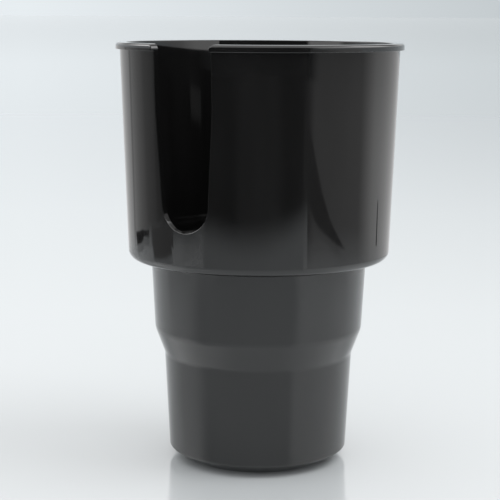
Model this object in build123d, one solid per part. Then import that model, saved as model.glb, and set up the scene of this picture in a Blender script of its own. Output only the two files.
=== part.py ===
from build123d import *
import os
from math import acos, atan2, degrees, hypot, radians, tan

# Cup holder for a car, moulded in one piece: a tapered cup with a slot for a mug's handle,
# standing on a stepped stem that drops into the car's own cup well.
# Millimetres, +Z up, origin at the middle of the base, handle slot towards -Y.

# Heights, from the base upwards
lower_stem_height = 39.8
step_height = 9.3
upper_stem_height = 26.2
cup_height = 78.1            # underside of the shoulder to the top of the rim
lip_height = 2.4

# Widths, from the rim downwards
rim_diameter = 104.2         # outside of the lip
lip_overhang = 1.5           # lip beyond the cup wall, on each side
ledge_width = 8.2            # cup beyond the stem at the shoulder, on each side
step_depth = 3.5             # upper stem beyond the lower stem, on each side

# Draft of the moulded walls, in degrees on each side
cup_draft = 2.1
stem_draft = 2.9

# Thicknesses
wall = 2.5
floor_thickness = 2.5

# Foot ring and the shallow recess inside it
foot_ring_width = 9.0
foot_recess_depth = 1.0

# Handle slot
slot_width = 23.0            # between the parallel sides of its upper part
slot_end_radius = 9.4        # full round at its lower end
slot_sill = 11.6             # lower end above the ledge inside
slot_taper_height = 42.0     # lower end up to where the sides become parallel
slot_side_radius = 60.0      # between its tapered and its parallel sides
slot_mouth_radius = 2.0      # corners where its sides turn over into the rim

# Roundings
shoulder_radius = 4.4
stem_root_radius = 1.0       # between the stem and the shoulder
ledge_edge_radius = 1.5      # inside, where the ledge drops into the stem
least_inside_radius = 0.5    # inside the shoulder, however thick the wall
knee_radius = 5.0            # inside of the bend at both ends of the conical step
base_edge_radius = 6.0
floor_corner_radius = 3.0    # inside, round the floor
lip_root_radius = 0.3        # under the lip
lip_under_flat = 0.1         # level strip left under the lip between its roundings
lip_round_share = 0.3        # most of the lip's height that its lower rounding may take
rim_edge_radius = 0.6        # round the rim and on down both edges of the slot
edge_share = 0.65            # most of its room that a rounding of those edges may take
sharp = 0.0

# Levels that follow
step_bottom = lower_stem_height
step_top = step_bottom + step_height
shoulder = step_top + upper_stem_height
rim = shoulder + cup_height
lip_bottom = rim - lip_height
floor = foot_recess_depth + floor_thickness
ledge = shoulder + wall

# Outside radii that follow
cup_slope = tan(radians(cup_draft))
stem_slope = tan(radians(stem_draft))
rim_radius = rim_diameter / 2
cup_top_radius = rim_radius - lip_overhang
cup_bottom_radius = cup_top_radius - (lip_bottom - shoulder) * cup_slope
stem_top_radius = cup_bottom_radius - ledge_width
step_top_radius = stem_top_radius - upper_stem_height * stem_slope
step_bottom_radius = step_top_radius - step_depth
base_radius = step_bottom_radius - lower_stem_height * stem_slope
foot_recess_radius = base_radius - foot_ring_width

# Inside radii that follow: every wall keeps its thickness
mouth_radius = cup_top_radius + lip_height * cup_slope - wall
ledge_outer_radius = cup_bottom_radius + wall * cup_slope - wall
ledge_inner_radius = stem_top_radius + wall * stem_slope - wall
floor_radius = base_radius + floor * stem_slope - wall

# Roundings that follow from the walls they lie on
lip_round = min(lip_round_share * lip_height, lip_overhang - lip_root_radius - lip_under_flat)
edge_round = min(rim_edge_radius, edge_share * lip_round, edge_share * wall / 2)
shoulder_round = min(shoulder_radius, ledge_width - stem_root_radius)
inner_shoulder_round = max(shoulder_round - wall, least_inside_radius)
outer_knee_radius = knee_radius + wall

# Half section of the wall: radius, height and rounding of each corner
section_corners = [
    # underside and outside, from the recess in the base up to the lip
    (0, foot_recess_depth, sharp),
    (foot_recess_radius, foot_recess_depth, sharp),
    (foot_recess_radius, 0, sharp),
    (base_radius, 0, base_edge_radius),
    (step_bottom_radius, step_bottom, knee_radius),
    (step_top_radius, step_top, outer_knee_radius),
    (stem_top_radius, shoulder, stem_root_radius),
    (cup_bottom_radius, shoulder, shoulder_round),
    (cup_top_radius, lip_bottom, lip_root_radius),
    (rim_radius, lip_bottom, lip_round),
    (rim_radius, rim, sharp),
    # inside, from the mouth down over the ledge to the floor
    (mouth_radius, rim, sharp),
    (ledge_outer_radius, ledge, inner_shoulder_round),
    (ledge_inner_radius, ledge, ledge_edge_radius),
    (step_top_radius - wall, step_top, knee_radius),
    (step_bottom_radius - wall, step_bottom, outer_knee_radius),
    (floor_radius, floor, floor_corner_radius),
    (0, floor, sharp),
]
section_points = [(radius, height) for radius, height, rounding in section_corners]
section_roundings = [rounding for radius, height, rounding in section_corners]
section = FilletPolyline(*section_points, radius=section_roundings, close=True)
moulding = revolve(Plane.XZ * make_face(section), Axis.Z)

# Right half of the handle slot's outline seen along Y, from its lower end upwards: a full round,
# a tapered side tangent to it, a parallel side, and a mouth that turns over into the rim
slot_bottom = ledge + slot_sill
slot_half_width = slot_width / 2
slot_taper_rise = slot_taper_height - slot_end_radius
slot_corner_distance = hypot(slot_half_width, slot_taper_rise)
slot_corner_bearing = atan2(slot_taper_rise, slot_half_width)
slot_taper = degrees(acos(slot_end_radius / slot_corner_distance) - slot_corner_bearing)
slot_side_corner = (slot_half_width, slot_bottom + slot_taper_height)
slot_side_end = (slot_half_width, rim - slot_mouth_radius)
slot_reach = rim_radius + lip_overhang
slot_roof = rim + lip_height
with BuildSketch(Plane.XZ) as slot_outline:
    with BuildLine():
        end_round = JernArc((0, slot_bottom), (1, 0), slot_end_radius, 90 - slot_taper)
        FilletPolyline(end_round @ 1, slot_side_corner, slot_side_end, radius=slot_side_radius)
        mouth_round = JernArc(slot_side_end, (0, 1), slot_mouth_radius, -90)
        mouth_end = mouth_round @ 1
        Polyline(mouth_end, (mouth_end.X, slot_roof), (0, slot_roof), (0, slot_bottom))
    make_face()
    mirror(about=Plane.YZ)
slot = extrude(slot_outline.sketch, slot_reach)

# The slot cut through the wall and the lip, then one rounding that runs round the rim,
# over the mouth corners and along both edges of the slot
cut_moulding = moulding - slot
slot_edges = new_edges(moulding, slot, combined=cut_moulding)
rim_edges = cut_moulding.edges().filter_by(GeomType.CIRCLE).group_by(Axis.Z)[-1]
body = fillet(slot_edges + rim_edges, edge_round)

os.makedirs("parts", exist_ok=True)
export_step(body, "parts/holder_body.step")
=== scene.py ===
from math import acos, atan2, cos, hypot, pi, radians, sin, tan

import bmesh
import bpy
from mathutils import Matrix, Vector


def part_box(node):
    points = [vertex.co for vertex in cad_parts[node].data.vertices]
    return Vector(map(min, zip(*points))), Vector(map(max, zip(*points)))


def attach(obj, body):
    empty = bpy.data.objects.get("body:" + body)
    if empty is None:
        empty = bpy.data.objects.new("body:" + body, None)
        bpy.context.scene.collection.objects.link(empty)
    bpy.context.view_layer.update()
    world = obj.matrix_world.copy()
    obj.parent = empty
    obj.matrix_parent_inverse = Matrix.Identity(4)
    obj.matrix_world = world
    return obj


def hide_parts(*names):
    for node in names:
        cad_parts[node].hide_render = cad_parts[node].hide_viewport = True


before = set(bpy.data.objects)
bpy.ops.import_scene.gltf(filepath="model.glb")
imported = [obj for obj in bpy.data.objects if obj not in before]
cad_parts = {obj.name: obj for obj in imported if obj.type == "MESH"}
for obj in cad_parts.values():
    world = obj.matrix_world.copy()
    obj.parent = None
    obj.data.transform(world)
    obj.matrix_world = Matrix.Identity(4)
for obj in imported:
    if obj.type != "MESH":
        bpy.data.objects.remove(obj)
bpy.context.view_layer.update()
mm = 0.001
mergeDistance = 0.01 * mm
lowCorner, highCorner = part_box("holder_body")
rimRadius = highCorner.x        # outside of the lip
rimHeight = highCorner.z        # base to the top of the rim
scene = bpy.context.scene
scene.view_settings.view_transform = "Standard"
print("frame loaded, rim", round(rimRadius / mm, 2), "mm, height", round(rimHeight / mm, 2), "mm")


# helpers for colours, nodes and objects

def hexColour(text):
    channels = [int(text[i:i + 2], 16) / 255 for i in (1, 3, 5)]
    linear = [c / 12.92 if c <= 0.04045 else ((c + 0.055) / 1.055) ** 2.4 for c in channels]
    return (*linear, 1.0)


def addNode(tree, kind, settings=None, **links):
    # settings: properties and input values by name; links: input name (spaces as _) to an output socket
    node = tree.nodes.new(kind)
    for name, value in (settings or {}).items():
        if name in node.inputs:
            node.inputs[name].default_value = value
        else:
            setattr(node, name, value)
    for name, socket in links.items():
        tree.links.new(socket, node.inputs[name.replace("_", " ")])
    return node


def setStops(ramp, stops):
    # position and linear colour of each stop, in rising order
    while len(ramp.elements) < len(stops):
        ramp.elements.new(0.5)
    for element, (position, colour) in zip(ramp.elements, stops):
        element.position = position
        element.color = colour


def newMaterial(name):
    material = bpy.data.materials.new(name)
    material.use_nodes = True
    material.node_tree.nodes.clear()
    return material


def meshObject(name, bm, material=None):
    mesh = bpy.data.meshes.new(name)
    bm.to_mesh(mesh)
    bm.free()
    obj = bpy.data.objects.new(name, mesh)
    scene.collection.objects.link(obj)
    if material:
        mesh.materials.append(material)
    return obj


# the moulding, sizes in mm

moulding = {
    "lowerStem": 39.8, "step": 9.3, "upperStem": 26.2,      # heights from the base up to the shoulder
    "lipHeight": 2.4, "lipOverhang": 1.5,
    "ledge": 8.2, "stepDepth": 3.5,                         # how far the outline steps in, on each side
    "cupDraft": 2.1, "stemDraft": 2.9,                      # degrees
    "wall": 2.5, "floor": 2.5,
    "footRing": 9.0, "footRecess": 1.0,
    "undercut": 7.2, "undercutHeight": 4.2,                 # base edge drawn in towards the foot ring
    "recessRound": 0.4, "footInnerRound": 0.3, "footOuterRound": 0.4, "baseEdgeRound": 1.2,
    "kneeRound": 5.0, "stemRootRound": 1.0, "shoulderRound": 3.0,
    "lipRootRound": 0.15, "lipUnderRound": 0.1, "lipRound": 1.1,
    "innerShoulderRound": 1.9, "ledgeEdgeRound": 1.5, "floorRound": 3.0,
    "edgeRound": 0.30, "edgeSegments": 4,                   # inside of the rim, and slot edges
    "edgeAngle": 50, "belowSlot": 1.0,                      # degrees and mm that pick those edges
    "roundSegments": 8,                                     # every other rounding
    "columns": 128, "slotColumns": 8, "slotZone": 40,       # spin steps, and degrees across the slot
}

slot = {
    "width": 23.0, "endRadius": 9.4, "sill": 11.6, "taperHeight": 42.0,
    "sideRadius": 60.0, "mouthRadius": 2.0, "mouthRise": 0.04,
    "endSteps": 14, "mouthSteps": 8,
    "above": 5.0, "reach": 1.2,                             # cutter above the rim; its length in rim radii
}


def mouldingProfile(s):
    # half section as radius, height and rounding of each corner, from the base up the outside and down
    # the inside
    cupSlope = tan(radians(s["cupDraft"]))
    stemSlope = tan(radians(s["stemDraft"]))
    rim = rimHeight / mm
    wall = s["wall"]
    stepTop = s["lowerStem"] + s["step"]
    shoulder = stepTop + s["upperStem"]
    lipBottom = rim - s["lipHeight"]
    floor = s["footRecess"] + s["floor"]
    ledge = shoulder + wall
    rimOuter = rimRadius / mm
    cupTop = rimOuter - s["lipOverhang"]
    cupBottom = cupTop - (lipBottom - shoulder) * cupSlope
    stemTop = cupBottom - s["ledge"]
    kneeTop = stemTop - s["upperStem"] * stemSlope
    kneeBottom = kneeTop - s["stepDepth"]
    base = kneeBottom - s["lowerStem"] * stemSlope
    recess = base - s["footRing"]
    outerKneeRound = s["kneeRound"] + wall
    corners = [
        (0, s["footRecess"], 0),
        (recess, s["footRecess"], s["recessRound"]),
        (recess, 0, s["footInnerRound"]),
        (base - s["undercut"], 0, s["footOuterRound"]),
        (base + s["undercutHeight"] * stemSlope, s["undercutHeight"], s["baseEdgeRound"]),
        (kneeBottom, s["lowerStem"], s["kneeRound"]),
        (kneeTop, stepTop, outerKneeRound),
        (stemTop, shoulder, s["stemRootRound"]),
        (cupBottom, shoulder, s["shoulderRound"]),
        (cupTop, lipBottom, s["lipRootRound"]),
        (rimOuter, lipBottom, s["lipUnderRound"]),
        (rimOuter, rim, s["lipRound"]),
        (cupTop + s["lipHeight"] * cupSlope - wall, rim, 0),
        (cupBottom + wall * cupSlope - wall, ledge, s["innerShoulderRound"]),
        (stemTop + wall * stemSlope - wall, ledge, s["ledgeEdgeRound"]),
        (kneeTop - wall, stepTop, s["kneeRound"]),
        (kneeBottom - wall, s["lowerStem"], outerKneeRound),
        (base + floor * stemSlope - wall, floor, s["floorRound"]),
        (0, floor, 0),
    ]
    return corners, ledge, rim


def roundCorners(bm, verts, roundings, segments):
    # each corner is cut back along its two edges so that the arc between has the wanted radius
    for vert, rounding in zip(verts, roundings):
        if rounding:
            a, b = [(e.other_vert(vert).co - vert.co) for e in vert.link_edges]
            turn = pi - a.angle(b)
            bmesh.ops.bevel(bm, geom=[vert], offset=rounding * mm * tan(turn / 2), offset_type="OFFSET",
                            segments=segments, profile=0.5, affect="VERTICES", material=-1)


def buildLathe(s):
    corners, ledge, rim = mouldingProfile(s)
    bm = bmesh.new()
    verts = [bm.verts.new((radius * mm, 0, height * mm)) for radius, height, rounding in corners]
    for a, b in zip(verts, verts[1:]):
        bm.edges.new((a, b))
    roundCorners(bm, verts, [c[2] for c in corners], s["roundSegments"])
    # coarse columns beside the slot, so that no column line runs along its sides
    zone = radians(s["slotZone"])
    bmesh.ops.rotate(bm, verts=bm.verts, cent=(0, 0, 0), matrix=Matrix.Rotation(zone / 2 - pi / 2, 3, "Z"))
    geom = list(bm.verts) + list(bm.edges)
    wide = bmesh.ops.spin(bm, geom=geom, cent=(0, 0, 0), axis=(0, 0, 1), angle=2 * pi - zone,
                          steps=s["columns"])
    bmesh.ops.spin(bm, geom=wide["geom_last"], cent=(0, 0, 0), axis=(0, 0, 1), angle=zone,
                   steps=s["slotColumns"])
    bmesh.ops.remove_doubles(bm, verts=bm.verts, dist=mergeDistance)
    bmesh.ops.recalc_face_normals(bm, faces=bm.faces)
    return bm, ledge, rim


def buildSlotCutter(s, ledge, rim):
    # right half of the outline as a chain of arcs and straight runs, then mirrored, filled and pulled
    # through the wall
    bottom = ledge + s["sill"]
    half = s["width"] / 2
    rise = s["taperHeight"] - s["endRadius"]
    taper = acos(s["endRadius"] / hypot(half, rise)) - atan2(rise, half)
    mouthCentre = (half + s["mouthRadius"], rim + s["mouthRise"] - s["mouthRadius"])
    bm = bmesh.new()
    start = bm.verts.new((0, 0, bottom * mm))
    arc = bmesh.ops.spin(bm, geom=[start], cent=(0, 0, (bottom + s["endRadius"]) * mm), axis=(0, -1, 0),
                         angle=pi / 2 - taper, steps=s["endSteps"])
    tip = [v for v in arc["geom_last"] if isinstance(v, bmesh.types.BMVert)][0]
    side = None
    for x, z in ((half, bottom + s["taperHeight"]), (half, mouthCentre[1])):
        made = bmesh.ops.extrude_vert_indiv(bm, verts=[tip])
        tip = made["verts"][0]
        tip.co = Vector((x, 0, z)) * mm
        side = side or tip
    mouth = bmesh.ops.spin(bm, geom=[tip], cent=(mouthCentre[0] * mm, 0, mouthCentre[1] * mm),
                           axis=(0, 1, 0), angle=pi / 2, steps=s["mouthSteps"])
    tip = [v for v in mouth["geom_last"] if isinstance(v, bmesh.types.BMVert)][0]
    for x in (mouthCentre[0], 0):
        made = bmesh.ops.extrude_vert_indiv(bm, verts=[tip])
        tip = made["verts"][0]
        tip.co = Vector((x, 0, rim + s["above"])) * mm
    roundCorners(bm, [side], [s["sideRadius"]], s["mouthSteps"])
    bmesh.ops.mirror(bm, geom=list(bm.verts) + list(bm.edges), merge_dist=mergeDistance, axis="X")
    bmesh.ops.remove_doubles(bm, verts=bm.verts, dist=mergeDistance)
    face = bmesh.ops.contextual_create(bm, geom=list(bm.edges))["faces"]
    pulled = bmesh.ops.extrude_face_region(bm, geom=face)
    verts = [v for v in pulled["geom"] if isinstance(v, bmesh.types.BMVert)]
    bmesh.ops.translate(bm, verts=verts, vec=(0, -s["reach"] * rimRadius, 0))
    bmesh.ops.recalc_face_normals(bm, faces=bm.faces)
    return bm, bottom


def cutSlot(lathe, cutter):
    body = meshObject("lathe", lathe)
    tool = meshObject("slotTool", cutter)
    cut = body.modifiers.new("slot", "BOOLEAN")
    cut.operation = "DIFFERENCE"
    cut.solver = "EXACT"
    cut.object = tool
    graph = bpy.context.evaluated_depsgraph_get()
    mesh = bpy.data.meshes.new_from_object(body.evaluated_get(graph))
    bm = bmesh.new()
    bm.from_mesh(mesh)
    bpy.data.meshes.remove(mesh)
    for obj in (body, tool):
        bpy.data.meshes.remove(obj.data)
    return bm


def roundSlotAndRim(bm, s, slotBottom):
    lowest = (slotBottom - s["belowSlot"]) * mm
    sharp = radians(s["edgeAngle"])
    edges = [e for e in bm.edges if e.is_manifold and e.is_convex and e.calc_face_angle() > sharp
             and min(v.co.z for v in e.verts) > lowest]
    print("edges to round", len(edges))
    bmesh.ops.bevel(bm, geom=edges, offset=s["edgeRound"] * mm, offset_type="OFFSET",
                    segments=s["edgeSegments"], profile=0.5, affect="EDGES", clamp_overlap=False, material=-1)


def buildHolder(material):
    lathe, ledge, rim = buildLathe(moulding)
    cutter, slotBottom = buildSlotCutter(slot, ledge, rim)
    bm = cutSlot(lathe, cutter)
    roundSlotAndRim(bm, moulding, slotBottom)
    for face in bm.faces:
        face.smooth = True
    holder = meshObject("cup_holder_moulding", bm, material)
    # keeps the tall walls straight to the eye
    evenNormals = holder.modifiers.new("evenNormals", "WEIGHTED_NORMAL")
    evenNormals.mode = "FACE_AREA"
    evenNormals.weight = 100
    return holder


# gloss black ABS, injection moulded in a polished tool: near black, with a clear hard gloss that only
# wavers a little, in tall streaks, where the plastic flowed up the wall and shrank

plastic = {
    "darkest": "#101010", "palest": "#151515",
    "leastRoughness": 0.032, "mostRoughness": 0.058, "ior": 1.68,
    "streakWide": 7.0, "streakTall": 45.0,      # mm
    "cloud": 14.0,                              # mm, size of the patches in the polish
    "waviness": 0.012,                          # mm
    "noiseLow": 0.3, "noiseHigh": 0.7,          # part of the noise that the colour and the polish follow
}


def glossBlackAbs(s):
    material = newMaterial("gloss_black_abs_moulded")
    tree = material.node_tree
    place = addNode(tree, "ShaderNodeTexCoord")
    wide, tall = 1 / (s["streakWide"] * mm), 1 / (s["streakTall"] * mm)
    flow = addNode(tree, "ShaderNodeMapping", {"Scale": (wide, wide, tall)}, Vector=place.outputs["Object"])
    streaks = addNode(tree, "ShaderNodeTexNoise", {"Scale": 1.0, "Detail": 1.0},
                      Vector=flow.outputs["Vector"])
    clouds = addNode(tree, "ShaderNodeTexNoise", {"Scale": 1 / (s["cloud"] * mm), "Detail": 3.0},
                     Vector=place.outputs["Object"])
    polish = addNode(tree, "ShaderNodeMapRange", {
        "From Min": s["noiseLow"], "From Max": s["noiseHigh"],
        "To Min": s["leastRoughness"], "To Max": s["mostRoughness"],
    }, Value=clouds.outputs["Fac"])
    colour = addNode(tree, "ShaderNodeValToRGB", Fac=streaks.outputs["Fac"])
    setStops(colour.color_ramp, [
        (s["noiseLow"], hexColour(s["darkest"])), (s["noiseHigh"], hexColour(s["palest"])),
    ])
    waves = addNode(tree, "ShaderNodeBump", {"Strength": 1.0, "Distance": s["waviness"] * mm},
                    Height=streaks.outputs["Fac"])
    shader = addNode(tree, "ShaderNodeBsdfPrincipled", {"IOR": s["ior"]}, Base_Color=colour.outputs["Color"],
                     Roughness=polish.outputs["Result"], Normal=waves.outputs["Normal"])
    addNode(tree, "ShaderNodeOutputMaterial", Surface=shader.outputs["BSDF"])
    return material


holder = buildHolder(glossBlackAbs(plastic))
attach(holder, "root")
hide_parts("holder_body")
print("holder built,", len(holder.data.polygons), "faces")


# camera: place from the axis in degrees and metres, then how it is turned, in degrees

view = {
    "azimuth": 32.0, "distance": 0.5252, "height": 0.16288,
    "tilt": 9.257, "pan": 0.350, "roll": 0.319, "lens": 103.50, "sensor": 36,
}


def placeCamera(v):
    data = bpy.data.cameras.new("camera")
    data.lens = v["lens"]
    data.sensor_width = v["sensor"]
    camera = bpy.data.objects.new("camera", data)
    scene.collection.objects.link(camera)
    turn = radians(v["azimuth"])
    aim = (Matrix.Rotation(turn + radians(v["pan"]), 3, "Z")
           @ Matrix.Rotation(pi / 2 - radians(v["tilt"]), 3, "X")
           @ Matrix.Rotation(radians(v["roll"]), 3, "Z"))
    camera.location = (v["distance"] * sin(turn), -v["distance"] * cos(turn), v["height"])
    camera.rotation_euler = aim.to_euler()
    scene.camera = camera


# floor and room: a pale gloss table top under a bright ceiling, duller to the right

room = {
    "floorSize": 400, "floorColour": "#c9cdcf", "floorRoughness": 0.12, "floorIor": 1.8,
    "leftHorizon": "#ced5d9", "rightHorizon": "#a6aeb2", "ceiling": "#ffffff", "strength": 1.2,
    "sideBlend": 0.16,                          # sideways part of the direction where each side is reached
    # upward part of the direction, and share of the ceiling in it; a haze hides the horizon
    "rise": [(0, 0.14), (0.012, 0.14), (0.04, 0.05), (0.10, 0.17), (0.20, 0.50), (0.35, 1)],
}

keyLamp = {"azimuth": 80, "elevation": 52, "distance": 1.6, "wide": 0.9, "power": 8}


def paleFloor(s):
    # lacquered board: pale, with an even gloss that mirrors the foot of what stands on it
    material = newMaterial("pale_lacquered_board")
    tree = material.node_tree
    shader = addNode(tree, "ShaderNodeBsdfPrincipled", {
        "Base Color": hexColour(s["floorColour"]), "Roughness": s["floorRoughness"], "IOR": s["floorIor"],
    })
    addNode(tree, "ShaderNodeOutputMaterial", Surface=shader.outputs["BSDF"])
    return material


def buildFloor(s):
    bm = bmesh.new()
    bmesh.ops.create_grid(bm, x_segments=1, y_segments=1, size=s["floorSize"] / 2)
    floor = meshObject("floor", bm, paleFloor(s))


def buildRoom(s):
    world = bpy.data.worlds.new("room")
    scene.world = world
    world.use_nodes = True
    tree = world.node_tree
    tree.nodes.clear()
    direction = addNode(tree, "ShaderNodeTexCoord")
    turned = addNode(tree, "ShaderNodeMapping", {"Rotation": (0, 0, -radians(view["azimuth"]))},
                     Vector=direction.outputs["Generated"])
    parts = addNode(tree, "ShaderNodeSeparateXYZ", Vector=turned.outputs["Vector"])
    across = addNode(tree, "ShaderNodeMapRange", {"From Min": -s["sideBlend"], "From Max": s["sideBlend"]},
                     Value=parts.outputs["X"])
    rise = addNode(tree, "ShaderNodeValToRGB", Fac=parts.outputs["Z"])
    setStops(rise.color_ramp, [(upward, (share, share, share, 1)) for upward, share in s["rise"]])
    # the colours of a Mix node are its sockets 6 and 7, and its result is 2
    low = addNode(tree, "ShaderNodeMix", {"data_type": "RGBA"})
    low.inputs[6].default_value = hexColour(s["leftHorizon"])
    low.inputs[7].default_value = hexColour(s["rightHorizon"])
    tree.links.new(across.outputs["Result"], low.inputs[0])
    tone = addNode(tree, "ShaderNodeMix", {"data_type": "RGBA"})
    tone.inputs[7].default_value = hexColour(s["ceiling"])
    tree.links.new(rise.outputs["Color"], tone.inputs[0])
    tree.links.new(low.outputs[2], tone.inputs[6])
    sky = addNode(tree, "ShaderNodeBackground", {"Strength": s["strength"]}, Color=tone.outputs[2])
    addNode(tree, "ShaderNodeOutputWorld", Surface=sky.outputs["Background"])


def placeLamp(name, s):
    lamp = bpy.data.lights.new(name, "AREA")
    lamp.size = s["wide"]
    lamp.energy = s["power"]
    obj = bpy.data.objects.new(name, lamp)
    # the lamp is left out of the gloss; the painted glow bands show there instead
    obj.visible_glossy = False                  # the gloss shows the screens
    scene.collection.objects.link(obj)
    up = radians(s["elevation"])
    place = Vector((*placeAt(s["azimuth"], cos(up)), sin(up))) * s["distance"]
    obj.location = place
    obj.rotation_euler = place.to_track_quat("Z", "Y").to_euler()


# painted reflections: sheets seen only in the gloss, out of the camera's sight, lighting nothing and casting
# no shadow:
# dark and pale sheets and cards on the floor, a dark curtain behind the camera and glowing bands; bearings
# are in degrees right of the camera

# painted floor reflections, sheets seen only in the gloss: metres from the middle of the opening in them to
# where they begin and are whole, metres from the object to their far edge, and bearing and distance of that
# middle
reflectionSheets = {
    "frontReflectionSheet": {
        "near": 0.853, "whole": 0.980, "reach": 4.0, "middle": (172, 0.5),
        "tones": [
            (-50, "#2e2e2e"), (-40, "#2a2a2a"), (-22, "#2a2a2a"), (-11, "#424242"), (11, "#424242"),
            (22, "#2a2a2a"), (34, "#2e2e2e"), (39.5, "#545454"),
        ],
    },
    "leftReflectionSheet": {
        "near": 0.395, "whole": 0.520, "reach": 12.0, "middle": (0, 0),
        "tones": [
            (-165, "#dcdcdc"), (-134, "#cccccc"), (-133, "#a0a0a0"), (-131, "#a0a0a0"), (-130, "#bcbcbc"),
            (-88, "#585858"), (-72, "#3c3c3c"), (-50, "#2e2e2e"),
        ],
    },
    "rightReflectionSheet": {
        "near": 0.270, "whole": 0.500, "reach": 4.0, "middle": (0, 0),
        "tones": [(39.5, "#545454"), (45, "#828282"), (90, "#868686"), (108, "#cacaca"), (165, "#d0d0d0")],
    },
}
reflectionSheetLift = 0.002
reflectionSheetStart = 0.2

# cards on the floor sheets that paint small dark and grey marks into the reflections: bearing and distance in
# mm of each corner
cards = {
    "fin": {
        "corners": [
            (36, 1020), (44, 780), (51, 600), (60, 490), (76, 405), (60, 430), (46, 475), (36, 600),
        ],
        "tone": "#4c4c4c",
    },
    "edgeLine": {"corners": [(117.5, 440), (118, 620), (119.5, 620), (119.5, 440)], "tone": "#585858"},
    "hook": {
        "corners": [
            (-129, 495), (-116, 490), (-103, 480), (-103, 455), (-113, 463), (-117, 445), (-127, 445),
        ],
        "tone": "#343434",
    },
    "patch": {"corners": [(-76, 385), (-76, 500), (-100, 485), (-100, 455), (-97, 385)], "tone": "#707070"},
}
cardLift = 0.003

# painted dark reflection behind the camera, seen only in the gloss; white in the cover hides what is behind
darkReflectionCurtain = {
    "distance": 1.3, "height": 0.9, "tone": "#3c3c3c",
    "cover": [(-84, "#000000"), (-64, "#ffffff"), (38, "#ffffff"), (48, "#000000")],
}

# glowing bands, no lamps, that paint bright reflections and are seen only in the gloss: metres away, and
# heights of the foot, of where it is whole and of the top
glowBands = {
    "brightGlowBand": {
        "distance": 1.6, "foot": 0.46, "whole": 0.92, "top": 2.0, "strength": 5,
        "tones": [
            (-165, "#202020"), (-142, "#303030"), (-118, "#ffffff"), (-104, "#ffffff"),     # bright, left
            (-30, "#888888"), (30, "#888888"),                                  # wall behind the camera
            (96, "#d0d0d0"), (118, "#d0d0d0"), (138, "#505050"), (165, "#383838"),          # duller, right
        ],
    },
    "leftStrip": {
        "distance": 1.2, "foot": 0.192, "whole": 0.196, "top": 0.235, "strength": 2,
        "tones": [(-112, "#8c8c8c"), (-84, "#8c8c8c"), (-76, "#e0e0e0"), (-47, "#e0e0e0"), (-44, "#202020")],
    },
    "rightStrip": {
        "distance": 1.2, "foot": 0.192, "whole": 0.196, "top": 0.235, "strength": 2,
        "tones": [(38, "#d0d0d0"), (62, "#cccccc"), (78, "#a0a0a0"), (112, "#888888")],
    },
    "lipStrip": {
        "distance": 1.2, "foot": 0.095, "whole": 0.105, "top": 0.15, "strength": 2,
        "tones": [(38, "#585858"), (48, "#686868"), (68, "#909090"), (84, "#8c8c8c")],
    },
}
sweepSteps = 64


def placeAt(angle, away):
    turn = radians(view["azimuth"] + angle)
    return away * sin(turn), -away * cos(turn)


def toneByBearing(tree, tones):
    # tones that change with the bearing round the object, and the coordinates they are read from
    place = addNode(tree, "ShaderNodeTexCoord")
    turned = addNode(tree, "ShaderNodeMapping", {"Rotation": (0, 0, pi / 2 - radians(view["azimuth"]))},
                     Vector=place.outputs["Object"])
    turn = addNode(tree, "ShaderNodeTexGradient", {"gradient_type": "RADIAL"},
                   Vector=turned.outputs["Vector"])
    tone = addNode(tree, "ShaderNodeValToRGB", Fac=turn.outputs["Fac"])
    # the gradient runs from 0 to 1 in a full turn that starts straight behind the object
    setStops(tone.color_ramp, [((angle + 180) / 360, hexColour(colour)) for angle, colour in tones])
    return place, tone


def finishReflectionSheet(tree, **links):
    # matt finish of the painted reflection sheets: all light is scattered, without any sheen
    shader = addNode(tree, "ShaderNodeBsdfPrincipled", {"Roughness": 1.0, "Specular IOR Level": 0.0}, **links)
    addNode(tree, "ShaderNodeOutputMaterial", Surface=shader.outputs["BSDF"])
    return shader


def paintedFloorReflection(s):
    # painted floor reflection: dark at the front and lighter towards the sides; it thins out towards the
    # object
    material = newMaterial("painted_floor_reflection")
    tree = material.node_tree
    place, tone = toneByBearing(tree, s["tones"])
    distance = addNode(tree, "ShaderNodeVectorMath", {"operation": "DISTANCE"})
    tree.links.new(place.outputs["Object"], distance.inputs[0])
    distance.inputs[1].default_value = (*placeAt(*s["middle"]), reflectionSheetLift)
    cover = addNode(tree, "ShaderNodeMapRange", {
        "From Min": s["near"], "From Max": s["whole"], "interpolation_type": "SMOOTHSTEP",
    }, Value=distance.outputs["Value"])
    side = addNode(tree, "ShaderNodeNewGeometry")
    upper = addNode(tree, "ShaderNodeMath", {"operation": "SUBTRACT"})
    tree.links.new(cover.outputs["Result"], upper.inputs[0])
    tree.links.new(side.outputs["Backfacing"], upper.inputs[1])
    finishReflectionSheet(tree, Base_Color=tone.outputs["Color"], Alpha=upper.outputs["Value"])
    return material


def paintedCurtainReflection(s):
    # painted dark reflection, seen only in the gloss, that thins out at both sides
    material = newMaterial("painted_curtain_reflection")
    tree = material.node_tree
    place, cover = toneByBearing(tree, s["cover"])
    shader = finishReflectionSheet(tree, Alpha=cover.outputs["Color"])
    shader.inputs["Base Color"].default_value = hexColour(s["tone"])
    return material


def paintedReflectionCard(s):
    # painted reflection marks: matt grey card seen only in the gloss
    material = newMaterial("painted_reflection_card")
    shader = finishReflectionSheet(material.node_tree)
    shader.inputs["Base Color"].default_value = hexColour(s["tone"])
    return material


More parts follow.
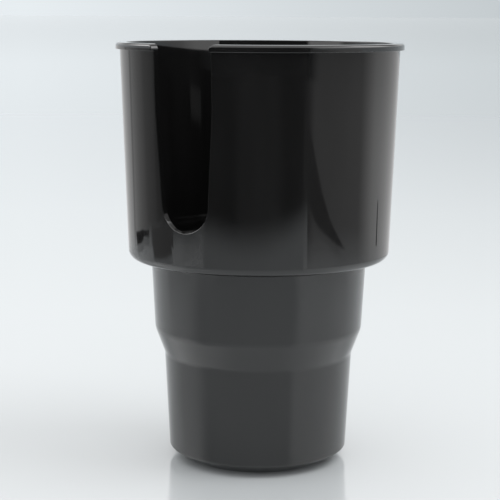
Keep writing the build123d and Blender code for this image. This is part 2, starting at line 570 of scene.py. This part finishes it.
def paintedGlowReflection(s):
    # painted glow for the reflections, no lamp, thinning out towards its foot
    material = newMaterial("painted_glow_reflection")
    tree = material.node_tree
    place, tone = toneByBearing(tree, s["tones"])
    height = addNode(tree, "ShaderNodeSeparateXYZ", Vector=place.outputs["Object"])
    cover = addNode(tree, "ShaderNodeMapRange", {
        "From Min": s["foot"], "From Max": s["whole"], "interpolation_type": "SMOOTHSTEP",
    }, Value=height.outputs["Z"])
    shader = finishReflectionSheet(tree, Emission_Color=tone.outputs["Color"], Alpha=cover.outputs["Result"])
    shader.inputs["Base Color"].default_value = hexColour("#000000")
    shader.inputs["Emission Strength"].default_value = s["strength"]
    return material


def forReflections(name, bm, material):
    sheet = meshObject(name, bm, material)
    sheet.visible_camera = False
    sheet.visible_diffuse = False
    sheet.visible_shadow = False


def sweep(ends, stops):
    # an edge on the camera's side of the object, swept round it from the first stop's bearing to the last's
    left, right = stops[0][0], stops[-1][0]
    bm = bmesh.new()
    verts = [bm.verts.new(end) for end in ends]
    edge = bm.edges.new(verts)
    start = Matrix.Rotation(radians(view["azimuth"] + left), 3, "Z")
    bmesh.ops.rotate(bm, verts=verts, cent=(0, 0, 0), matrix=start)
    bmesh.ops.spin(bm, geom=[*verts, edge], cent=(0, 0, 0), axis=(0, 0, 1), angle=radians(right - left),
                   steps=sweepSteps)
    bmesh.ops.recalc_face_normals(bm, faces=bm.faces)
    return bm


def layReflectionSheet(name, s):
    bm = sweep([(0, -reflectionSheetStart, reflectionSheetLift), (0, -s["reach"], reflectionSheetLift)], s["tones"])
    if bm.faces[:][0].normal.z < 0:
        bmesh.ops.reverse_faces(bm, faces=bm.faces)
    forReflections(name, bm, paintedFloorReflection(s))


def hangDarkReflectionCurtain(s):
    bm = sweep([(0, -s["distance"], 0), (0, -s["distance"], s["height"])], s["cover"])
    forReflections("darkReflectionCurtain", bm, paintedCurtainReflection(s))


def hangGlowBand(name, s):
    bm = sweep([(0, -s["distance"], s["foot"]), (0, -s["distance"], s["top"])], s["tones"])
    forReflections(name, bm, paintedGlowReflection(s))


def layCard(name, s):
    bm = bmesh.new()
    verts = [bm.verts.new((*placeAt(angle, away * mm), cardLift)) for angle, away in s["corners"]]
    for a, b in zip(verts, verts[1:] + verts[:1]):
        bm.edges.new((a, b))
    bmesh.ops.contextual_create(bm, geom=list(bm.edges))
    forReflections(name, bm, paintedReflectionCard(s))


placeCamera(view)
buildFloor(room)
buildRoom(room)
placeLamp("keyLamp", keyLamp)
for name, glowBand in glowBands.items():
    hangGlowBand(name, glowBand)
for name, reflectionSheet in reflectionSheets.items():
    layReflectionSheet(name, reflectionSheet)
hangDarkReflectionCurtain(darkReflectionCurtain)
for name, card in cards.items():
    layCard(name, card)
print("camera, floor and light placed")
